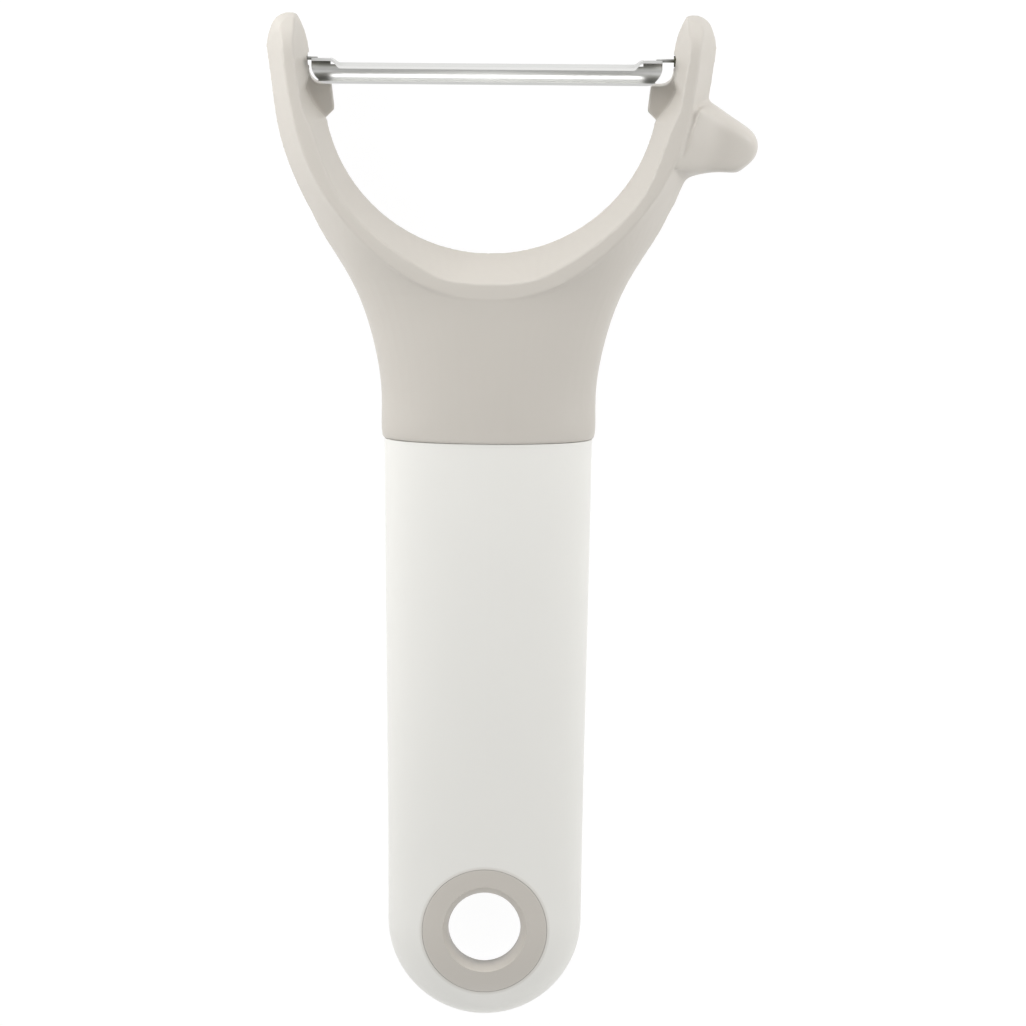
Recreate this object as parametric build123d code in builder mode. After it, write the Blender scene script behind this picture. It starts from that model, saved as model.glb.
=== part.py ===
from build123d import *
from math import atan, cos, radians, sin
import os

os.makedirs("parts", exist_ok=True)

# A Y-shaped vegetable peeler, lying on its back.
# The origin is the hang hole's centre at mid depth. +Y runs to the arm tips, +Z out of the front face.

# Stations along the peeler, from the hang hole's centre
seam_y = 78.6
neck_length = 29.4
arm_height = 38.1
tip_above_pivot = 7.2
pocket_below_pivot = 9.5
arch_below_throat = 10.2
rim_below_throat = 6.5
throat_bottom_y = seam_y + neck_length
arm_tip_y = throat_bottom_y + arm_height
pivot_y = arm_tip_y - tip_above_pivot
pocket_foot_y = pivot_y - pocket_below_pivot
arch_bottom_y = throat_bottom_y - arch_below_throat
rim_bottom_y = throat_bottom_y - rim_below_throat

# Head: two arms round a circular throat, thickest at mid depth and sloping to a narrow rim
arm_half_span = 35.6
arm_wall = 6.7
pocket_step = 2.3
rim_inset = 2.3
rim_half_depth = 9.3
rim_depth_at_pivot = 5.8
rim_throat_drop = 3.9
tip_overhang = 0.5
tip_round_offset = 1.2
arm_inner_face_x = arm_half_span - arm_wall
throat_radius = arm_inner_face_x - pocket_step
rim_half_span = arm_half_span - rim_inset

# Neck, which carries the arch on the handle
neck_half_width = 16.8
neck_half_depth = 9.1
neck_top_inset = 4.85
neck_below_arms = 27.1
neck_below_rim = 0.12
neck_trim_margin = 0.4

# Grip, which lines up with the neck at the seam
seam_gap = 0.2
seam_step = 0.3
grip_end_radius = 15.3
grip_end_half_depth = 6.2
grip_end_y = 1.4
grip_side_share = 0.6
grip_face_share = 0.64
grip_mouth_half_width = neck_half_width - seam_step
grip_mouth_half_depth = neck_half_depth - seam_step

# Tang inside the grip, and the eye at its end
grip_side_wall = 4.7
grip_face_wall = 3.4
tang_side_share = 0.6
tang_face_share = 0.7
eye_half_thickness = 2.3
sleeve_fit = 0.1
tang_half_width = grip_mouth_half_width - grip_side_wall
tang_half_depth = grip_mouth_half_depth - grip_face_wall
eye_radius = grip_end_radius - grip_side_wall

# Hang hole and its ring
hang_hole_radius = 5.75
hang_hole_wall = 3.8
flare_width = 1.2
ring_wall = 1.65
ring_face_width = 2.95
ring_flange_lift = 0.4
ring_fit = 0.05
flare_radius = hang_hole_radius + flare_width
ring_sleeve_radius = hang_hole_radius + ring_wall
ring_radius = flare_radius + ring_face_width
ring_flange_z = eye_half_thickness + ring_flange_lift

# Eye remover on the right arm
nub_reach_x = 42.7
nub_embed = 3.0
nub_below_pivot = 5.5
nub_height = 13.1
nub_root_half_depth = 6.5
nub_root_inset = 2.3
nub_root_drop = 13.4
nub_root_slant = 20.0
nub_draft = 12.0
nub_root_x = arm_half_span - nub_embed
nub_top_y = pivot_y - nub_below_pivot
nub_bottom_y = nub_top_y - nub_height

# Blade: a trough of thin sheet, with a slit between a guard strip in front and the ground edge behind
sheet = 0.4
blade_end_gap = 1.0
blade_shift_x = -0.7
trough_bend_radius = 1.75
trough_bend_z = 0.5
flange_front_z = 3.2
flange_length = 3.05
flange_rise = 0.2
lip_front_z = 2.4
joggle_length = 1.65
blade_corner_radius = 2.5
guard_depth = 2.3
guard_drop = 0.92
guard_tilt = 9.0
edge_drop = 0.95
edge_bevel = 0.5
tongue_length = 1.0
tongue_half_depth = 0.85
blade_length = 2 * (arm_inner_face_x - blade_end_gap)
opening_half_length = blade_length / 2 - flange_length
guard_half_length = opening_half_length - joggle_length

# Pivots: a round pin at each end of the blade, in a blind bore in each arm
pin_radius = 0.9
pin_fit = 0.05
pin_start = 0.6
pin_end_gap = 0.25
bore_depth = 3.05
bore_radius = pin_radius + pin_fit
bore_bottom_x = arm_inner_face_x + bore_depth
pin_length = bore_depth + blade_end_gap + blade_shift_x - pin_end_gap

# Blade stops on the inner sides of the arms, behind the blade's path
stop_reach = 4.0
stop_gap = 0.45
stop_height = 4.05
stop_front_z = -1.2
stop_inset = 0.6
stop_fillet = 2.0
stop_lean = 0.5
stop_foot = 1.4
stop_reach_x = arm_inner_face_x - stop_reach
stop_top_y = pivot_y - 2 * trough_bend_radius - sheet / 2 - stop_gap

overrun = 2.0

# The front rim lies on a plane that falls from the throat's bottom to the arm tips
rim_fall = (rim_half_depth - rim_depth_at_pivot) / (pivot_y - rim_bottom_y)
rim_tilt = atan(rim_fall)
rim_plane = Plane(
    origin=(0, rim_bottom_y, rim_half_depth),
    x_dir=(1, 0, 0),
    z_dir=(0, sin(rim_tilt), cos(rim_tilt)),
)
throat_centre_y = throat_bottom_y + throat_radius


def rim_depth(y):
    """Half depth of the rim plane at a station along the peeler."""
    return rim_half_depth - rim_fall * (y - rim_bottom_y)


def arch_points(shares, half_span, start_y):
    """Points of an outline from shares of a half span and of the height from start_y to the arm tip."""
    return [(half_span * x, start_y + (arm_tip_y - start_y) * y) for x, y in shares]


def arm_points(shares):
    """Points of one arm: x as shares of its wall from the inner face, y of its height over the pocket."""
    height = arm_tip_y - pocket_foot_y
    return [(arm_inner_face_x + arm_wall * x, pocket_foot_y + height * y) for x, y in shares]


def on_rim(points):
    """The same points in the rim plane's own coordinates."""
    return [(x, (y - rim_bottom_y) / cos(rim_tilt)) for x, y in points]


# Outline of the arms at mid depth, where they are widest, and of the rim in front
outer_shares = [(0, 0), (0.576, 0.135), (0.848, 0.414), (0.949, 0.617), (0.997, 0.849), (0.988, 0.955)]
rim_outer_shares = [(0, 0), (0.565, 0.177), (0.799, 0.377), (0.916, 0.563), (0.991, 0.83), (1.0, 0.955)]
tip_crown_shares = [(0.8, 0.964), (0.309, 1.0)]
rim_tip_shares = [(0.557, 0.925), (0.408, 0.941)]
pocket_shares = [(-0.073, 0.161), (0.076, 0.286)]
rim_pocket_shares = [(0.125, 0.1), (0.215, 0.257)]
inner_tip_shares = [(0.0, 0.624), (0.09, 0.809)]
rim_inner_tip_shares = [(0.369, 0.605), (0.418, 0.813)]
rim_throat_shares = [(0, 0), (0.3, 0.053), (0.6, 0.268), (0.865, 0.605), (1.0, 1.0)]

outer_edge = arch_points(outer_shares, arm_half_span, arch_bottom_y)
tip_crown = arm_points(tip_crown_shares)
pocket = arm_points(pocket_shares)
inner_tip = arm_points(inner_tip_shares)
pocket_foot_x = (throat_radius**2 - (throat_centre_y - pocket_foot_y) ** 2) ** 0.5
pocket_foot = (pocket_foot_x, pocket_foot_y)

rim_outer_edge = arch_points(rim_outer_shares, rim_half_span, rim_bottom_y)
rim_tip = arm_points(rim_tip_shares)
rim_pocket = arm_points(rim_pocket_shares)
rim_inner_tip = arm_points(rim_inner_tip_shares)
rim_throat_low_y = throat_bottom_y - rim_throat_drop
rim_throat = [
    (arm_inner_face_x * x, rim_throat_low_y + (pocket_foot_y - rim_throat_low_y) * y)
    for x, y in rim_throat_shares
]

with BuildSketch(Plane.XY) as arms_at_mid_depth:
    with BuildLine():
        Spline(outer_edge, tangents=[(1, 0), (-0.4, 1)])
        ThreePointArc(outer_edge[-1], tip_crown[0], tip_crown[1])
        Spline([tip_crown[1], inner_tip[1], inner_tip[0], pocket[1]])
        Spline([pocket[1], pocket[0], pocket_foot])
        RadiusArc(pocket_foot, (0, throat_bottom_y), throat_radius)
        mirror(about=Plane.YZ)
    make_face()

with BuildSketch(rim_plane) as rim_face:
    with BuildLine():
        Spline(on_rim(rim_outer_edge), tangents=[(1, 0), (0, 1)])
        ThreePointArc(*on_rim([rim_outer_edge[-1], *rim_tip]))
        Spline(on_rim([rim_tip[-1], rim_inner_tip[1], rim_inner_tip[0], rim_pocket[1]]))
        Spline(on_rim([rim_pocket[1], rim_pocket[0], rim_throat[-1]]))
        Spline(on_rim(rim_throat[::-1]), tangents=[(-0.4, -1), (-1, 0)])
        mirror(about=Plane.YZ)
    make_face()

with BuildPart() as arch:
    loft(sections=[arms_at_mid_depth.sketch, rim_face.sketch], ruled=True)
    mirror(about=Plane.XY)


def oval(plane, half_width, half_depth, side_share, face_share, lean):
    """An oval section: upright at its sides, flat on its faces; lean draws its shoulders in."""
    with BuildSketch(plane) as section:
        with BuildLine():
            Bezier(
                (half_width, 0),
                (half_width - lean, side_share * half_depth),
                (face_share * half_width, half_depth),
                (0, half_depth),
            )
            mirror(about=Plane.YZ)
            mirror(about=Plane.XZ)
        make_face()
    return section.sketch


def across(y):
    """A plane across the peeler at a station along it."""
    return Plane.XZ.offset(-y)


# Neck: oval at the seam, its flanks rising to the rim's outer edge as it opens into the arms
neck_station_shares = [0, 0.13, 0.25, 0.37, 0.49, 0.61, 0.74, 0.87, 1.0]
neck_spread_shares = [0, 0.014, 0.039, 0.108, 0.211, 0.362, 0.591, 0.81, 1.0]
neck_depth_shares = [1.0, 1.0, 1.0, 1.0, 1.0, 1.045, 1.275, 1.69, 1.76]
neck_face_shares = [0.62, 0.62, 0.62, 0.62, 0.64, 0.665, 0.693, 0.708, 0.741]
neck_side_shares = [0.58, 0.58, 0.58, 0.58, 0.57, 0.57, 0.55, 0.52, 0.5]
neck_lean_shares = [0, 0, 0, 0, 0.02, 0.04, 0.164, 0.235, 0.248]
neck_top_y = arm_tip_y - neck_below_arms
neck_top_half_width = arm_half_span - neck_top_inset
neck_sections = [
    oval(
        across(seam_y + (neck_top_y - seam_y) * station),
        neck_half_width + (neck_top_half_width - neck_half_width) * spread,
        neck_half_depth * depth,
        side,
        face,
        neck_half_depth * depth * lean,
    )
    for station, spread, depth, side, face, lean in zip(
        neck_station_shares,
        neck_spread_shares,
        neck_depth_shares,
        neck_side_shares,
        neck_face_shares,
        neck_lean_shares,
    )
]

# The neck is cut just under the rim's plane and stops inside the arch, clear of the throat
neck_trim_radius = throat_radius + rim_throat_drop + neck_trim_margin

with BuildPart() as neck:
    loft(sections=neck_sections)
    split(bisect_by=rim_plane.offset(-neck_below_rim), keep=Keep.BOTTOM)
    split(bisect_by=Plane.XY, keep=Keep.TOP)
    with Locations((0, throat_centre_y, 0)):
        Cylinder(neck_trim_radius, 2 * rim_half_depth + overrun, mode=Mode.SUBTRACT)
    mirror(about=Plane.XY)


def tang(fit):
    """The tang and its eye; fit is the clearance all round, for the cavity that takes them."""
    station_shares = [1.0, 0.55, 0.1]
    width_shares = [1.0, 0.95, 0.84]
    depth_shares = [1.0, 0.85, 0.45]
    sections = [
        oval(
            across(seam_y * station),
            tang_half_width * width + fit,
            tang_half_depth * depth + fit,
            tang_side_share,
            tang_face_share,
            0,
        )
        for station, width, depth in zip(station_shares, width_shares, depth_shares)
    ]
    with BuildPart() as form:
        loft(sections=sections)
        Cylinder(eye_radius + fit, 2 * (eye_half_thickness + fit))
    return form.part


# Side view of the head, with the arm tips rounded like ears
tip_round_shares = [(0.0, 1.0), (0.68, 0.68), (1.0, 0.0)]
tip_round_y = pivot_y + tip_round_offset
tip_round = [
    (
        tip_round_y + (arm_tip_y + tip_overhang - tip_round_y) * y,
        rim_depth(tip_round_y) * z,
    )
    for y, z in tip_round_shares
]
with BuildSketch(Plane.YZ) as head_side:
    with BuildLine():
        Polyline(
            tip_round[-1],
            (0, 0),
            (0, rim_depth(0) + overrun),
            (tip_round_y, rim_depth(tip_round_y) + overrun),
            tip_round[0],
        )
        ThreePointArc(*tip_round)
    make_face()
    mirror(about=Plane.XZ)

# Eye remover: its outline slopes from the arm to a round tip, and its root lies inside the arm
nub_outline_shares = {
    "root_top": (0.0, 1.0),
    "shoulder": (0.28, 0.92),
    "brow": (0.84, 0.62),
    "tip": (1.0, 0.39),
    "chin": (0.88, 0.19),
    "heel": (0.66, 0.05),
    "sole": (0.3, 0.065),
    "root_bottom": (-0.1, 0.0),
    "inside_bottom": (-0.4, 0.1),
    "inside_top": (-0.18, 0.9),
}
nub = {
    name: (
        nub_root_x + (nub_reach_x - nub_root_x) * x,
        nub_bottom_y + (nub_top_y - nub_bottom_y) * y,
    )
    for name, (x, y) in nub_outline_shares.items()
}
with BuildSketch(Plane.XY) as nub_outline:
    with BuildLine():
        Polyline(nub["root_top"], nub["shoulder"], nub["brow"])
        ThreePointArc(nub["brow"], nub["tip"], nub["chin"])
        Line(nub["chin"], nub["heel"])
        ThreePointArc(nub["heel"], nub["sole"], nub["root_bottom"])
        Polyline(nub["root_bottom"], nub["inside_bottom"], nub["inside_top"], nub["root_top"])
    make_face()

# Its face, seen along the slanted root, leaves the arm's flank in a hollow and falls away to the tip
nub_face_shares = [(-0.25, 1.0), (0.0, 0.7), (0.25, 0.6), (0.6, 0.56), (0.85, 0.46), (1.1, 0.2)]
nub_slant = radians(nub_root_slant)
nub_length = (nub_reach_x - arm_half_span + nub_root_inset) * cos(nub_slant)
nub_plane = Plane(
    origin=(arm_half_span - nub_root_inset, pivot_y - nub_root_drop, 0),
    x_dir=(cos(nub_slant), -sin(nub_slant), 0),
    z_dir=(-sin(nub_slant), -cos(nub_slant), 0),
)
nub_face = [(nub_length * x, nub_root_half_depth * y) for x, y in nub_face_shares]
with BuildSketch(nub_plane) as nub_side:
    with BuildLine():
        Spline(nub_face)
        Polyline(nub_face[-1], (nub_face[-1][0], 0), (nub_face[0][0], 0), nub_face[0])
    make_face()
    mirror(about=Plane.XZ)

with BuildPart() as nub_form:
    extrude(nub_outline.sketch, amount=nub_root_half_depth, taper=nub_draft)
    mirror(about=Plane.XY)
    extrude(nub_side.sketch, amount=nub_height, both=True, mode=Mode.INTERSECT)

# Blade stop: a block behind the blade's path, filleted up to the arm
stop_half_depth = rim_depth(stop_top_y) - stop_inset
stop_root_x = arm_inner_face_x + overrun
with BuildSketch(Plane.XY.offset(stop_front_z)) as stop_outline:
    with BuildLine():
        Polyline(
            (arm_inner_face_x - stop_fillet, stop_top_y),
            (stop_reach_x + stop_lean, stop_top_y),
            (stop_reach_x, stop_top_y - stop_height),
            (stop_reach_x + stop_foot, stop_top_y - stop_height - stop_foot),
            (stop_root_x, stop_top_y - stop_height - stop_foot),
            (stop_root_x, stop_top_y + stop_fillet),
            (arm_inner_face_x, stop_top_y + stop_fillet),
        )
        RadiusArc(
            (arm_inner_face_x, stop_top_y + stop_fillet),
            (arm_inner_face_x - stop_fillet, stop_top_y),
            stop_fillet,
        )
    make_face()

# Head frame: arms, neck, eye remover, blade stops, pivot bores and the tang inside the grip
with BuildPart() as head_frame:
    add(arch.part)
    add(neck.part)
    add(nub_form.part)
    extrude(head_side.sketch, amount=arm_half_span + nub_reach_x, both=True, mode=Mode.INTERSECT)
    extrude(stop_outline.sketch, amount=stop_front_z + stop_half_depth, dir=(0, 0, -1))
    extrude(
        stop_outline.sketch.mirror(Plane.YZ),
        amount=stop_front_z + stop_half_depth,
        dir=(0, 0, -1),
    )
    with Locations((0, pivot_y, 0)):
        Cylinder(bore_radius, 2 * bore_bottom_x, rotation=(0, 90, 0), mode=Mode.SUBTRACT)
    add(tang(0))
    Cylinder(ring_sleeve_radius + ring_fit, 2 * eye_half_thickness + overrun, mode=Mode.SUBTRACT)
head_frame.part.label = "head_frame"
export_step(head_frame.part, "parts/head_frame.step")

# Outer form of the grip: an oval that thins to the hang hole, closed by a domed end
grip_station_shares = [1.0, 0.75, 0.5, 0.25, 0.1, 0.0]
grip_width_shares = [1.0, 0.74, 0.46, 0.18, 0.06, 0.0]
grip_depth_shares = [1.0, 0.86, 0.6, 0.28, 0.08, 0.0]
grip_top_y = seam_y - seam_gap
grip_sections = [
    oval(
        across(grip_end_y + (grip_top_y - grip_end_y) * station),
        grip_end_radius + (grip_mouth_half_width - grip_end_radius) * width,
        grip_end_half_depth + (grip_mouth_half_depth - grip_end_half_depth) * depth,
        grip_side_share,
        grip_face_share,
        0,
    )
    for station, width, depth in zip(grip_station_shares, grip_width_shares, grip_depth_shares)
]
with BuildSketch(Plane.XZ.offset(-grip_end_y)) as end_profile:
    with BuildLine():
        Bezier(
            (grip_end_radius, 0),
            (grip_end_radius, grip_side_share * grip_end_half_depth),
            (grip_face_share * grip_end_radius, grip_end_half_depth),
            (0, grip_end_half_depth),
        )
        mirror(about=Plane.XZ)
        Line((0, -grip_end_half_depth), (0, grip_end_half_depth))
    make_face()

with BuildPart() as grip_form:
    loft(sections=grip_sections)
    revolve(end_profile.sketch, axis=Axis((0, grip_end_y, 0), (0, 0, 1)))


def ring_spool(fit):
    """The hang ring's body before it is trimmed flush with the grip; fit is its clearance."""
    reach = grip_mouth_half_depth + overrun
    with BuildPart() as form:
        Cylinder(ring_sleeve_radius + fit, 2 * reach)
        with Locations((0, 0, (reach + ring_flange_z) / 2), (0, 0, -(reach + ring_flange_z) / 2)):
            Cylinder(ring_radius + fit, reach - ring_flange_z + 2 * fit)
    return form.part


# Grip sleeve: the white moulding over the tang
with BuildPart() as grip_sleeve:
    add(grip_form.part)
    add(tang(sleeve_fit), mode=Mode.SUBTRACT)
    add(ring_spool(ring_fit), mode=Mode.SUBTRACT)
grip_sleeve.part.label = "grip_sleeve"
export_step(grip_sleeve.part, "parts/grip_sleeve.step")

# Hang ring: lines the hang hole, flush with the grip, and flares to both faces
with BuildSketch(Plane.XZ) as bore_profile:
    with BuildLine():
        Polyline(
            (0, grip_end_half_depth + overrun),
            (0, 0),
            (hang_hole_radius, 0),
            (hang_hole_radius, hang_hole_wall / 2),
        )
        Spline(
            [(hang_hole_radius, hang_hole_wall / 2), (flare_radius, grip_end_half_depth)],
            tangents=[(0, 1), (0.5, 1)],
        )
        Polyline(
            (flare_radius, grip_end_half_depth),
            (flare_radius + overrun, grip_end_half_depth + overrun),
            (0, grip_end_half_depth + overrun),
        )
    make_face()
    mirror(about=Plane.XZ)

with BuildPart() as hang_ring:
    add(ring_spool(0))
    add(grip_form.part, mode=Mode.INTERSECT)
    revolve(bore_profile.sketch, axis=Axis.Z, mode=Mode.SUBTRACT)
hang_ring.part.label = "hang_ring"
export_step(hang_ring.part, "parts/hang_ring.step")

# Blade: the trough's section, seen along the pivot, from the flange round the back to the lower lip
trough_bottom_y = pivot_y - 2 * trough_bend_radius
with BuildSketch(Plane.YZ) as trough_section:
    with BuildLine():
        Line((pivot_y + flange_rise, flange_front_z), (pivot_y, trough_bend_z))
        ThreePointArc(
            (pivot_y, trough_bend_z),
            (pivot_y - trough_bend_radius, trough_bend_z - trough_bend_radius),
            (trough_bottom_y, trough_bend_z),
        )
        Line((trough_bottom_y, trough_bend_z), (trough_bottom_y, lip_front_z))
    trace(line_width=sheet)

# Front view of the trough, whose lower corners are rounded
blade_top_y = pivot_y + flange_rise + sheet
blade_bottom_y = trough_bottom_y - sheet / 2
with BuildSketch(Plane.XY) as trough_outline:
    with Locations((blade_shift_x, (blade_top_y + blade_bottom_y) / 2)):
        Rectangle(blade_length, blade_top_y - blade_bottom_y)
    fillet(trough_outline.vertices().group_by(Axis.Y)[0], radius=blade_corner_radius)


def guard_section(x, lowering):
    """The guard strip's section at x; lowering runs from 0 in the flange to 1 along the guard."""
    tilt = radians(guard_tilt) * lowering
    centre_y = pivot_y + flange_rise / 2 - guard_drop * lowering
    centre_z = flange_front_z - guard_depth / 2
    plane = Plane(
        origin=(x, centre_y, centre_z),
        x_dir=(0, -sin(tilt), cos(tilt)),
        z_dir=(1, 0, 0),
    )
    with BuildSketch(plane) as section:
        Rectangle(guard_depth, sheet)
    return section.sketch


joggle_station_shares = [0.0, 0.25, 0.75, 1.0]
joggle_lowering_shares = [0.0, 0.12, 0.88, 1.0]

# Section of what the slit takes away; behind, it slopes and leaves the trough's back as a ground edge
edge_y = pivot_y - edge_drop
inner_bend_radius = trough_bend_radius - sheet / 2
edge_z = trough_bend_z - (inner_bend_radius**2 - (trough_bend_radius - edge_drop) ** 2) ** 0.5
slit_top_y = pivot_y + overrun
with BuildSketch(Plane.YZ.offset(blade_shift_x)) as slit_section:
    with BuildLine():
        Polyline(
            (edge_y, flange_front_z + overrun),
            (edge_y, edge_z),
            (edge_y - 2 * edge_bevel, edge_z - 2 * sheet),
            (slit_top_y, edge_z - 2 * sheet),
            (slit_top_y, flange_front_z + overrun),
            close=True,
        )
    make_face()

with BuildPart() as blade:
    extrude(trough_section.sketch, amount=blade_length, both=True)
    extrude(trough_outline.sketch, amount=rim_half_depth, both=True, mode=Mode.INTERSECT)
    extrude(slit_section.sketch, amount=opening_half_length, both=True, mode=Mode.SUBTRACT)
    for side in (-1, 1):
        outer_x = blade_shift_x + side * opening_half_length
        inner_x = blade_shift_x + side * guard_half_length
        sections = [
            guard_section(outer_x + (inner_x - outer_x) * station, lowering)
            for station, lowering in zip(joggle_station_shares, joggle_lowering_shares)
        ]
        loft(sections=sections)
        end_x = blade_shift_x + side * blade_length / 2
        with Locations((end_x, pivot_y + flange_rise / 2, 0)):
            Box(2 * tongue_length, sheet, 2 * tongue_half_depth)
        with Locations((end_x + side * (pin_length + pin_start) / 2, pivot_y, 0)):
            Cylinder(pin_radius, pin_length - pin_start, rotation=(0, 90, 0))
    extrude(guard_section(blade_shift_x, 1).face(), amount=guard_half_length, both=True)
blade.part.label = "blade"
export_step(blade.part, "parts/blade.step")
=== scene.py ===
import logging
import math
from dataclasses import dataclass
from enum import Enum
from typing import Any

import bmesh
import bpy
from mathutils import Matrix, Vector


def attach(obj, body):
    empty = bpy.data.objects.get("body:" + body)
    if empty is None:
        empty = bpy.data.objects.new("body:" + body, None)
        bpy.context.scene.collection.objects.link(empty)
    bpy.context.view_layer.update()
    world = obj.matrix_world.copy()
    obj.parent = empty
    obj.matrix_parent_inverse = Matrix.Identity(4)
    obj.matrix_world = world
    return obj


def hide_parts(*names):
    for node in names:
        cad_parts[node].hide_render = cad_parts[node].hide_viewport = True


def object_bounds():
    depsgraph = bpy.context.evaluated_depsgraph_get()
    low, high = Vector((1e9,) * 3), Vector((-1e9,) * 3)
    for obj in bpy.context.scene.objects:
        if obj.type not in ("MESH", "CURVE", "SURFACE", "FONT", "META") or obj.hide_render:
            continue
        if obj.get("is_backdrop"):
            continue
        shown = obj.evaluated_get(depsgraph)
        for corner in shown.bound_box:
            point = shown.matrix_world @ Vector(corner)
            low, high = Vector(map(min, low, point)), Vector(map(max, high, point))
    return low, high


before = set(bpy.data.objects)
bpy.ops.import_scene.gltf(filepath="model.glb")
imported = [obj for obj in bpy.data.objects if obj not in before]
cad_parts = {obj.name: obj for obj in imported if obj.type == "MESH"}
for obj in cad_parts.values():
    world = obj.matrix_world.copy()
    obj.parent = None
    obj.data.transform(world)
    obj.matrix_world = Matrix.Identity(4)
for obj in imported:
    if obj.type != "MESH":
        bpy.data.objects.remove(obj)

Pair = tuple[float, float]
Triple = tuple[float, float, float]

MM = 0.001
WHITE = "FFFFFF"
# The Mix node's colour sockets share their names with its number sockets, so they are taken by their place
COLOUR_A, COLOUR_B, COLOUR_RESULT = 6, 7, 2
LOG = logging.getLogger("peeler")


class Body(Enum):
    """The two bodies of the peeler: what the hand holds, and what swivels."""

    HANDLE = "handle"
    BLADE = "blade"


class Slot(Enum):
    """The record's material slots."""

    HEAD = "head_plastic"
    GRIP = "grip_plastic"
    STEEL = "blade_steel"


def to_linear(srgb: str) -> tuple[float, float, float, float]:
    """Turns an sRGB hex colour into the linear RGBA that the shaders take.

    Args:
        srgb: The colour as six hex digits.

    Returns:
        Linear red, green and blue, and an alpha of 1.
    """
    shares = [int(srgb[i : i + 2], 16) / 255 for i in (0, 2, 4)]
    # The sRGB curve has a straight foot and then follows a power of 2.4
    linear = [c / 12.92 if c <= 0.04045 else ((c + 0.055) / 1.055) ** 2.4 for c in shares]
    return (*linear, 1.0)


def add_node(
    tree: bpy.types.NodeTree, kind: str, inputs: dict[Any, Any], **settings: Any
) -> bpy.types.Node:
    """Adds a shader node with its settings, and fills or links its inputs.

    Args:
        tree: The node tree that takes the node.
        kind: Blender's name for the node.
        inputs: Values or output sockets, by input name or number.
        settings: Properties of the node, such as its operation.

    Returns:
        The new node.
    """
    node = tree.nodes.new(kind)
    for name, value in settings.items():
        setattr(node, name, value)
    for name, value in inputs.items():
        if isinstance(value, bpy.types.NodeSocket):
            tree.links.new(value, node.inputs[name])
        else:
            node.inputs[name].default_value = value
    return node


def new_tree(name: str) -> tuple[bpy.types.Material, bpy.types.NodeTree]:
    """Makes an empty node material.

    Args:
        name: The material's name.

    Returns:
        The material and its cleared node tree.
    """
    material = bpy.data.materials.new(name)
    material.use_nodes = True
    material.node_tree.nodes.clear()
    return material, material.node_tree


@dataclass(frozen=True)
class Blush:
    """A second colour that takes over by distance from the hang hole, where two plastics meet softly."""

    colour: str
    none_mm: float
    full_mm: float

    def tint(
        self, tree: bpy.types.NodeTree, place: bpy.types.NodeSocket, base: str
    ) -> bpy.types.NodeSocket:
        """Mixes the colour in by distance from the hang hole's axis.

        Args:
            tree: The material's node tree.
            place: The object coordinates.
            base: The plastic's own colour.

        Returns:
            The mixed colour's socket.
        """
        flat = add_node(
            tree, "ShaderNodeVectorMath", {0: place, 1: (1 / MM, 1 / MM, 0.0)}, operation="MULTIPLY"
        )
        away = add_node(tree, "ShaderNodeVectorMath", {0: flat.outputs["Vector"]}, operation="LENGTH")
        share = add_node(
            tree,
            "ShaderNodeMapRange",
            {"Value": away.outputs["Value"], "From Min": self.none_mm, "From Max": self.full_mm},
        )
        mixed = add_node(
            tree,
            "ShaderNodeMix",
            {
                "Factor": share.outputs["Result"],
                COLOUR_A: to_linear(base),
                COLOUR_B: to_linear(self.colour),
            },
            data_type="RGBA",
        )
        return mixed.outputs[COLOUR_RESULT]


@dataclass(frozen=True)
class MouldedPlastic:
    """Polypropylene from a spark-eroded mould.

    The eye sees a satin skin: one even colour, a broad soft sheen and no sharp reflection.
    """

    name: str
    colour: str
    blush: Blush | None = None
    roughness: float = 0.42
    roughness_spread: float = 0.03
    ior: float = 1.49
    # A real eroded grain is about 0.05 mm wide, too fine to show here, so it is drawn coarser
    grain_mm: float = 0.35
    grain_height_mm: float = 0.006
    grain_detail: float = 3.0
    # Slow clouds, as of pigment that isn't quite evenly mixed, keep the large faces from looking flat
    cloud_mm: float = 14.0
    cloud_depth: float = 0.015
    cloud_detail: float = 2.0

    def material(self) -> bpy.types.Material:
        """Builds the node material.

        Returns:
            The material, with clouds in its colour and a grain in its roughness and bump.
        """
        material, tree = new_tree(self.name)
        place = add_node(tree, "ShaderNodeTexCoord", {}).outputs["Object"]
        clouds, grain = (
            add_node(
                tree, "ShaderNodeTexNoise", {"Vector": place, "Scale": 1 / (size * MM), "Detail": detail}
            ).outputs["Fac"]
            for size, detail in ((self.cloud_mm, self.cloud_detail), (self.grain_mm, self.grain_detail))
        )
        shade, roughness = (
            add_node(
                tree,
                "ShaderNodeMapRange",
                {"Value": value, "To Min": middle - spread, "To Max": middle + spread},
            ).outputs["Result"]
            for value, middle, spread in (
                (clouds, 1.0, self.cloud_depth),
                (grain, self.roughness, self.roughness_spread),
            )
        )
        own = self.blush.tint(tree, place, self.colour) if self.blush else to_linear(self.colour)[:3]
        colour = add_node(tree, "ShaderNodeVectorMath", {0: own, "Scale": shade}, operation="SCALE")
        bump = add_node(
            tree,
            "ShaderNodeBump",
            {"Height": grain, "Distance": self.grain_height_mm * MM, "Strength": 1.0},
        )
        shader = add_node(
            tree,
            "ShaderNodeBsdfPrincipled",
            {
                "Base Color": colour.outputs["Vector"],
                "Roughness": roughness,
                "IOR": self.ior,
                "Normal": bump.outputs["Normal"],
            },
        )
        add_node(tree, "ShaderNodeOutputMaterial", {"Surface": shader.outputs["BSDF"]})
        return material


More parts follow.
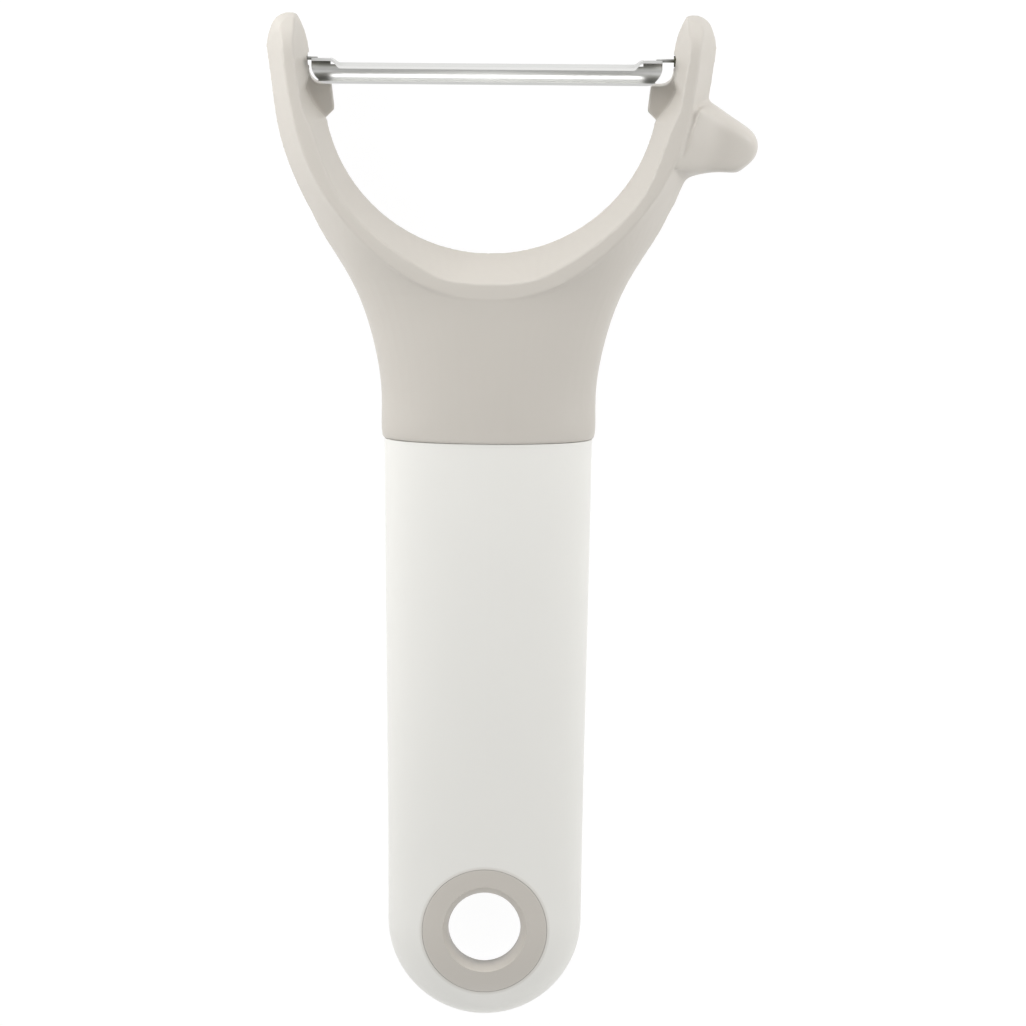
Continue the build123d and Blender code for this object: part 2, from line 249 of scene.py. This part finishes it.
@dataclass(frozen=True)
class TumbledSteel:
    """Stainless strip, cold rolled, stamped and then tumbled.

    The eye sees broad, soft reflections that run along the roll. Shade is painted into its colour: the
    steel is painted dark where it is enclosed and high in the trough, most towards the trough's ends and
    under the guard strip, and on the tongues.
    """

    name: str
    colour: str
    roughness: float = 0.36
    roughness_spread: float = 0.05
    # Real rolling streaks are about 0.02 mm wide, too fine to show here, so they are drawn coarser
    streak_mm: float = 0.12
    streak_stretch: float = 60.0
    streak_height_mm: float = 0.0006
    streak_detail: float = 2.0
    # Painted shade: a dark colour is painted in where the steel is sheltered, high in the trough and
    # towards its ends
    painted_shade_colour: str = "4C4B40"
    painted_shade_reach_mm: float = 5.0
    painted_shade_samples: int = 12
    painted_shade_open: Pair = (0.3, 1.0)
    painted_shade_y_mm: Pair = (138.2, 136.9)
    # The blade's middle in x, and the distances from it where each ramp is 0 and where it is 1
    centre_x_mm: float = -0.7
    painted_shade_out_mm: Pair = (24.5, -4.0)
    # Beyond this distance the steel is painted dark, a painted shade on the tongues inside the arms
    tongue_shade_out_mm: Pair = (29.6, 27.6)

    def material(self) -> bpy.types.Material:
        """Builds the node material.

        Returns:
            The material, with streaks in its roughness and bump and a painted shade in its colour.
        """
        material, tree = new_tree(self.name)
        place = add_node(tree, "ShaderNodeTexCoord", {}).outputs["Object"]
        stretched = add_node(
            tree, "ShaderNodeMapping", {"Vector": place, "Scale": (1 / self.streak_stretch, 1.0, 1.0)}
        )
        streaks = add_node(
            tree,
            "ShaderNodeTexNoise",
            {
                "Vector": stretched.outputs["Vector"],
                "Scale": 1 / (self.streak_mm * MM),
                "Detail": self.streak_detail,
            },
        ).outputs["Fac"]
        bump = add_node(
            tree,
            "ShaderNodeBump",
            {"Height": streaks, "Distance": self.streak_height_mm * MM, "Strength": 1.0},
        )
        roughness = add_node(
            tree,
            "ShaderNodeMapRange",
            {
                "Value": streaks,
                "To Min": self.roughness - self.roughness_spread,
                "To Max": self.roughness + self.roughness_spread,
            },
        )
        # Ambient occlusion drives the painted shade: enclosed steel is painted darker
        shelter = add_node(
            tree,
            "ShaderNodeAmbientOcclusion",
            {"Distance": self.painted_shade_reach_mm * MM},
            samples=self.painted_shade_samples,
        )
        spot = add_node(tree, "ShaderNodeSeparateXYZ", {0: place})
        off_centre = add_node(
            tree, "ShaderNodeMath", {0: spot.outputs["X"], 1: self.centre_x_mm * MM}, operation="SUBTRACT"
        )
        out = add_node(tree, "ShaderNodeMath", {0: off_centre.outputs[0]}, operation="ABSOLUTE").outputs[0]
        # Shares of steel left unshaded: open steel, low in the trough, near the middle, and short of the
        # tongues
        open_unshaded, low_unshaded, middle, inner = (
            add_node(
                tree,
                "ShaderNodeMapRange",
                {"Value": value, "From Min": ends[0] * unit, "From Max": ends[1] * unit},
            ).outputs["Result"]
            for value, ends, unit in (
                (shelter.outputs["AO"], self.painted_shade_open, 1.0),
                (spot.outputs["Y"], self.painted_shade_y_mm, MM),
                (out, self.painted_shade_out_mm, MM),
                (out, self.tongue_shade_out_mm, MM),
            )
        )
        bright = low_unshaded
        for operation, share in (("MAXIMUM", open_unshaded), ("MAXIMUM", middle), ("MULTIPLY", inner)):
            bright = add_node(tree, "ShaderNodeMath", {0: bright, 1: share}, operation=operation).outputs[0]
        # Painted shade: the dark colour is mixed into the steel's own colour where the unshaded share is
        # low
        colour = add_node(
            tree,
            "ShaderNodeMix",
            {"Factor": bright, COLOUR_A: to_linear(self.painted_shade_colour), COLOUR_B: to_linear(self.colour)},
            data_type="RGBA",
        )
        shader = add_node(
            tree,
            "ShaderNodeBsdfPrincipled",
            {
                "Base Color": colour.outputs[COLOUR_RESULT],
                "Metallic": 1.0,
                "Roughness": roughness.outputs["Result"],
                "Normal": bump.outputs["Normal"],
            },
        )
        add_node(tree, "ShaderNodeOutputMaterial", {"Surface": shader.outputs["BSDF"]})
        return material


def fade(value: float, none: float, full: float) -> float:
    """Ramps from 0 at one value to 1 at another.

    Args:
        value: The value looked at.
        none: Where the ramp is 0.
        full: Where the ramp is 1, on either side of the first.

    Returns:
        The share, from 0 to 1.
    """
    return min(1.0, max(0.0, (value - none) / (full - none)))


def dress(piece: bpy.types.Object, material: bpy.types.Material) -> None:
    """Gives a piece one material.

    Args:
        piece: The mesh object.
        material: Its material.
    """
    piece.data.materials.clear()
    piece.data.materials.append(material)


def copy_node(node: str, name: str) -> bpy.types.Object:
    """Copies a node's mesh into a new object.

    Args:
        node: The node's name in the frame.
        name: The new object's name.

    Returns:
        The new object, linked to the scene.
    """
    piece = bpy.data.objects.new(name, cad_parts[node].data.copy())
    bpy.context.scene.collection.objects.link(piece)
    return piece


def bezier(corners: tuple[Pair, ...], share: float) -> Pair:
    """Finds a point on a cubic curve.

    Args:
        corners: The curve's four control points.
        share: How far along the curve, from 0 to 1.

    Returns:
        The point.
    """
    rest = 1 - share
    weights = (rest**3, 3 * rest**2 * share, 3 * rest * share**2, share**3)
    return tuple(sum(w * corner[axis] for w, corner in zip(weights, corners)) for axis in (0, 1))


def add_body(mesh: bpy.types.Mesh, foot: list[Vector], head: list[Vector]) -> None:
    """Adds a closed body between two matching outlines to a mesh.

    Args:
        mesh: The mesh that takes the body.
        foot: One end's outline in millimetres.
        head: The other end's outline, point for point.
    """
    form = bmesh.new()
    form.from_mesh(mesh)
    low, high = ([form.verts.new(point * MM) for point in outline] for outline in (foot, head))
    faces = [form.faces.new(low), form.faces.new(high)]
    for here in range(len(low)):
        faces.append(form.faces.new((low[here - 1], low[here], high[here], high[here - 1])))
    bmesh.ops.recalc_face_normals(form, faces=faces)
    form.to_mesh(mesh)
    form.free()


def bake(piece: bpy.types.Object) -> None:
    """Applies a piece's modifiers to its mesh.

    Args:
        piece: The mesh object.
    """
    depsgraph = bpy.context.evaluated_depsgraph_get()
    piece.data = bpy.data.meshes.new_from_object(piece.evaluated_get(depsgraph))
    piece.modifiers.clear()


@dataclass
class Head:
    """The beige moulding: neck, arms, stops and eye remover, with its moulded edges softened."""

    finish: MouldedPlastic
    voxel_mm: float = 0.25
    smoothing_factor: float = 0.5
    smoothing_rounds: int = 3
    # The line where the eye remover leaves the arm, and the distances out of it and along it where the
    # blends start and end
    root_mm: Pair = (33.3, 125.5)
    root_slant_deg: float = 20.0
    root_half_length_mm: Pair = (10.0, 7.5)
    root_start_mm: Pair = (-2.2, -0.8)
    root_end_mm: Pair = (5.0, 2.5)
    root_rounds: int = 90
    edge_start_mm: Pair = (-0.5, 1.5)
    edge_rounds: int = 110
    # Front outlines of the bodies that slope from the arm's rim down to the eye remover's face
    root_fills_mm: tuple[tuple[Triple, ...], ...] = (
        (
            (31.0, 131.6, 6.3),
            (33.0, 131.9, 5.6),
            (36.0, 130.7, 4.2),
            (36.2, 126.0, 3.9),
            (34.6, 122.1, 4.0),
            (31.9, 121.8, 5.2),
            (29.6, 122.4, 7.1),
            (30.7, 127.0, 6.7),
        ),
        ((32.9, 131.4, 6.3), (36.0, 130.7, 4.2), (36.2, 125.8, 3.85), (31.8, 126.4, 6.75)),
        ((31.9, 126.8, 6.72), (36.2, 126.0, 3.9), (34.6, 122.1, 4.0), (30.0, 122.6, 7.05)),
    )
    # The oval that closes the seam under its outer edge: half width and half depth, the pull of its curve
    # at the side and at the face, and where it starts and ends
    seam_half_mm: Pair = (16.55, 8.85)
    seam_shares: Pair = (0.58, 0.62)
    seam_y_mm: Pair = (78.43, 79.0)
    seam_steps: int = 12

    def fill_root(self, mesh: bpy.types.Mesh) -> None:
        """Fills the notch between the eye remover's root and the arm's flank.

        Args:
            mesh: The head's mesh.
        """
        for fill in self.root_fills_mm:
            front = [Vector(corner) for corner in fill]
            add_body(mesh, [Vector((point.x, point.y, -point.z)) for point in front], front)

    def fill_seam(self, mesh: bpy.types.Mesh) -> None:
        """Closes the seam under its outer edge, so that the joint reads as a shallow groove.

        Args:
            mesh: The head's mesh.
        """
        width, depth = self.seam_half_mm
        side, face = self.seam_shares
        corners = ((width, 0.0), (width, side * depth), (face * width, depth), (0.0, depth))
        quarter = [bezier(corners, step / self.seam_steps) for step in range(self.seam_steps + 1)]
        half = quarter + [(-x, z) for x, z in reversed(quarter[:-1])]
        oval = half + [(x, -z) for x, z in reversed(half[1:-1])]
        low, high = ([Vector((x, y, z)) for x, z in oval] for y in self.seam_y_mm)
        add_body(mesh, low, high)

    def mark_blends(self, piece: bpy.types.Object) -> None:
        """Weights the points of the eye remover: its root, which blends into the arm, and its edges.

        Args:
            piece: The head's mesh object.
        """
        root_group = piece.vertex_groups.new(name="nub_root")
        edge_group = piece.vertex_groups.new(name="nub_edges")
        slant = math.radians(self.root_slant_deg)
        out = Vector((math.cos(slant), -math.sin(slant)))
        for vertex in piece.data.vertices:
            away = vertex.co.xy / MM - Vector(self.root_mm)
            reach, aside = away.dot(out), abs(away.cross(out))
            if reach < self.root_start_mm[0] or aside > self.root_half_length_mm[0]:
                continue
            length_share = fade(aside, *self.root_half_length_mm)
            root_share = length_share * fade(reach, *self.root_start_mm) * fade(reach, *self.root_end_mm)
            root_group.add([vertex.index], root_share, "REPLACE")
            edge_share = length_share * fade(reach, *self.edge_start_mm)
            edge_group.add([vertex.index], edge_share, "REPLACE")

    def build(self) -> bpy.types.Object:
        """Copies the frame's head, rounds its edges and puts the copy in its place.

        Returns:
            The softened head.
        """
        piece = copy_node("head_frame", "head_moulding")
        self.fill_root(piece.data)
        self.fill_seam(piece.data)
        remesh = piece.modifiers.new("voxels", "REMESH")
        remesh.mode = "VOXEL"
        remesh.voxel_size = self.voxel_mm * MM
        remesh.use_smooth_shade = True
        bake(piece)
        self.mark_blends(piece)
        passes = (
            ("blend_root", "nub_root", self.root_rounds),
            ("round_edges", "nub_edges", self.edge_rounds),
            ("soften", "", self.smoothing_rounds),
        )
        for name, group, rounds in passes:
            smooth = piece.modifiers.new(name, "SMOOTH")
            smooth.factor = self.smoothing_factor
            smooth.iterations = rounds
            smooth.vertex_group = group
        bake(piece)
        dress(piece, self.finish.material())
        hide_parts("head_frame")
        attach(piece, Body.HANDLE.value)
        return piece


@dataclass
class Handle:
    """The white grip and the beige ring round its hang hole, kept as the frame has them."""

    grip_finish: MouldedPlastic
    ring_finish: MouldedPlastic

    def build(self) -> list[bpy.types.Object]:
        """Dresses the grip and the ring.

        Returns:
            Both pieces.
        """
        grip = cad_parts["grip_sleeve"]
        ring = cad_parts["hang_ring"]
        dress(grip, self.grip_finish.material())
        dress(ring, self.ring_finish.material())
        return [grip, ring]


@dataclass
class Blade:
    """The stamped blade, whose flat tongues show up to the arms and turn round inside them."""

    finish: TumbledSteel
    # The right pin's start lies between these stations, and moves out from there into the arm
    pin_start_mm: Pair = (27.75, 28.25)
    pin_shift_mm: float = 1.2

    def build(self) -> bpy.types.Object:
        """Copies the frame's blade, starts its round pin inside the arm and puts the copy in its place.

        Returns:
            The blade.
        """
        piece = copy_node("blade", "blade_stamping")
        for vertex in piece.data.vertices:
            if self.pin_start_mm[0] < vertex.co.x / MM < self.pin_start_mm[1]:
                vertex.co.x += self.pin_shift_mm * MM
        dress(piece, self.finish.material())
        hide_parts("blade")
        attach(piece, Body.BLADE.value)
        return piece


@dataclass(frozen=True)
class Panel:
    """A soft square light that faces the middle of the object."""

    name: str
    place: Triple
    side: float
    watts: float

    def hang(self) -> None:
        """Hangs the light in the scene."""
        data = bpy.data.lights.new(self.name, "AREA")
        data.size = self.side
        data.energy = self.watts
        panel = bpy.data.objects.new(self.name, data)
        panel.location = self.place
        low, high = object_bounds()
        aim = (low + high) / 2 - panel.location
        panel.rotation_euler = aim.to_track_quat("-Z", "Y").to_euler()
        bpy.context.scene.collection.objects.link(panel)


@dataclass
class Studio:
    """A pale floor, soft light and a camera at the photograph's viewing angle."""

    image_px: float = 1026.0
    px_per_mm: float = 6.275
    hole_px: Pair = (484.5, 926.4)
    tilt_deg: float = 7.0
    roll_deg: float = 0.46
    distance_mm: float = 6000.0
    sensor_mm: float = 36.0
    floor_mm: float = 6000.0
    floor_colour: str = "F4F4F4"
    floor_glow_strength: float = 1.05
    floor_glow_share: float = 0.9
    # The tent's strength at its sides and overhead, and the heights between which it changes
    tent_heights: Pair = (0.1, 0.9)
    tent_strengths: Pair = (0.768, 0.32)
    # The same for what the steel and the plastic mirror: bright sides and a dimmer patch overhead
    mirrored_heights: Pair = (0.9, 0.99)
    mirrored_strengths: Pair = (1.28, 0.45)
    backdrop_strength: float = 1.0
    panels: tuple[Panel, ...] = (
        Panel("left_panel", (-0.22, 0.22, 0.13), 0.15, 0.45),
        Panel("right_panel", (0.28, 0.2, 0.13), 0.2, 0.45),
        Panel("head_panel", (-0.1, 1.2, 0.3), 0.8, 3.2),
        Panel("handle_panel", (0.0, -0.6, 0.3), 0.4, 1.0),
    )

    def camera(self) -> None:
        """Places the camera above the front face, tilted towards the head."""
        tilt, roll = math.radians(self.tilt_deg), math.radians(self.roll_deg)
        back = Vector((0, math.sin(tilt), math.cos(tilt)))
        level_up = Vector((0, math.cos(tilt), -math.sin(tilt)))
        level_right = Vector((1, 0, 0))
        right = level_right * math.cos(roll) + level_up * math.sin(roll)
        up = level_up * math.cos(roll) - level_right * math.sin(roll)
        across = (self.image_px / 2 - self.hole_px[0]) / self.px_per_mm * MM
        along = (self.hole_px[1] - self.image_px / 2) / self.px_per_mm * MM
        data = bpy.data.cameras.new("camera")
        data.sensor_width = self.sensor_mm
        data.lens = data.sensor_width * self.distance_mm * self.px_per_mm / self.image_px
        data.clip_end = 2 * self.distance_mm * MM
        camera = bpy.data.objects.new("camera", data)
        place = right * across + up * along + back * (self.distance_mm * MM)
        camera.matrix_world = Matrix.Translation(place) @ Matrix((right, up, back)).transposed().to_4x4()
        bpy.context.scene.collection.objects.link(camera)
        bpy.context.scene.camera = camera

    def floor(self) -> None:
        """Lays a white paper floor under the object, which glows for the camera and keeps its shadow."""
        low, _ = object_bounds()
        reach = self.floor_mm / 2 * MM
        mesh = bpy.data.meshes.new("floor")
        corners = [(x * reach, y * reach, low.z) for x, y in ((-1, -1), (1, -1), (1, 1), (-1, 1))]
        mesh.from_pydata(corners, [], [(0, 1, 2, 3)])
        floor = bpy.data.objects.new("floor", mesh)
        bpy.context.scene.collection.objects.link(floor)
        material, tree = new_tree("white_paper_floor")
        paper = add_node(tree, "ShaderNodeBsdfDiffuse", {"Color": to_linear(self.floor_colour)})
        glow = add_node(
            tree, "ShaderNodeEmission", {"Color": to_linear(WHITE), "Strength": self.floor_glow_strength}
        )
        ray = add_node(tree, "ShaderNodeLightPath", {})
        seen = add_node(
            tree,
            "ShaderNodeMath",
            {0: ray.outputs["Is Camera Ray"], 1: ray.outputs["Is Glossy Ray"]},
            operation="MAXIMUM",
        )
        share = add_node(
            tree, "ShaderNodeMath", {0: seen.outputs[0], 1: self.floor_glow_share}, operation="MULTIPLY"
        )
        mix = add_node(
            tree,
            "ShaderNodeMixShader",
            {0: share.outputs[0], 1: paper.outputs["BSDF"], 2: glow.outputs["Emission"]},
        )
        add_node(tree, "ShaderNodeOutputMaterial", {"Surface": mix.outputs["Shader"]})
        dress(floor, material)
        floor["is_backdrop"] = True

    def world(self) -> None:
        """Surrounds the object with a soft tent that is bright at the sides and dimmer overhead."""
        world = bpy.data.worlds.new("light_tent")
        bpy.context.scene.world = world
        world.use_nodes = True
        tree = world.node_tree
        tree.nodes.clear()
        place = add_node(tree, "ShaderNodeTexCoord", {})
        height = add_node(tree, "ShaderNodeSeparateXYZ", {0: place.outputs["Generated"]})
        lit, mirrored = (
            add_node(
                tree,
                "ShaderNodeMapRange",
                {
                    "Value": height.outputs["Z"],
                    "From Min": low,
                    "From Max": high,
                    "To Min": side,
                    "To Max": top,
                },
            ).outputs["Result"]
            for (low, high), (side, top) in (
                (self.tent_heights, self.tent_strengths),
                (self.mirrored_heights, self.mirrored_strengths),
            )
        )
        ray = add_node(tree, "ShaderNodeLightPath", {})
        strength = lit
        for kind, value in (("Is Glossy Ray", mirrored), ("Is Camera Ray", self.backdrop_strength)):
            strength = add_node(
                tree, "ShaderNodeMix", {"Factor": ray.outputs[kind], "A": strength, "B": value}
            ).outputs["Result"]
        light = add_node(tree, "ShaderNodeBackground", {"Color": to_linear(WHITE), "Strength": strength})
        add_node(tree, "ShaderNodeOutputWorld", {"Surface": light.outputs["Background"]})

    def build(self) -> None:
        """Sets up the camera, the floor and the light."""
        self.camera()
        self.floor()
        self.world()
        for panel in self.panels:
            panel.hang()
        bpy.context.scene.view_settings.view_transform = "Standard"


def main() -> None:
    """Builds the peeler and its studio."""
    logging.basicConfig(level=logging.INFO, format="%(name)s: %(message)s")
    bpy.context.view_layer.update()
    # Warm grey beige and off-white, which cross over softly round the hang hole
    beige, white = "C8C3BB", "EBEAE5"
    head_plastic = MouldedPlastic("satin_moulded_polypropylene_beige", beige)
    ring_plastic = MouldedPlastic("satin_moulded_polypropylene_ring", beige, Blush(white, 9.7, 10.6))
    grip_plastic = MouldedPlastic("satin_moulded_polypropylene_white", white, Blush(beige, 10.5, 9.7))
    steel = TumbledSteel("cold_rolled_tumbled_stainless_steel", "DCDCDA")
    handle = Handle(grip_plastic, ring_plastic)
    for piece in [Head(head_plastic).build(), *handle.build(), Blade(steel).build()]:
        LOG.info("%s: %d faces", piece.name, len(piece.data.polygons))
    Studio().build()


if __name__ == "__main__":
    main()
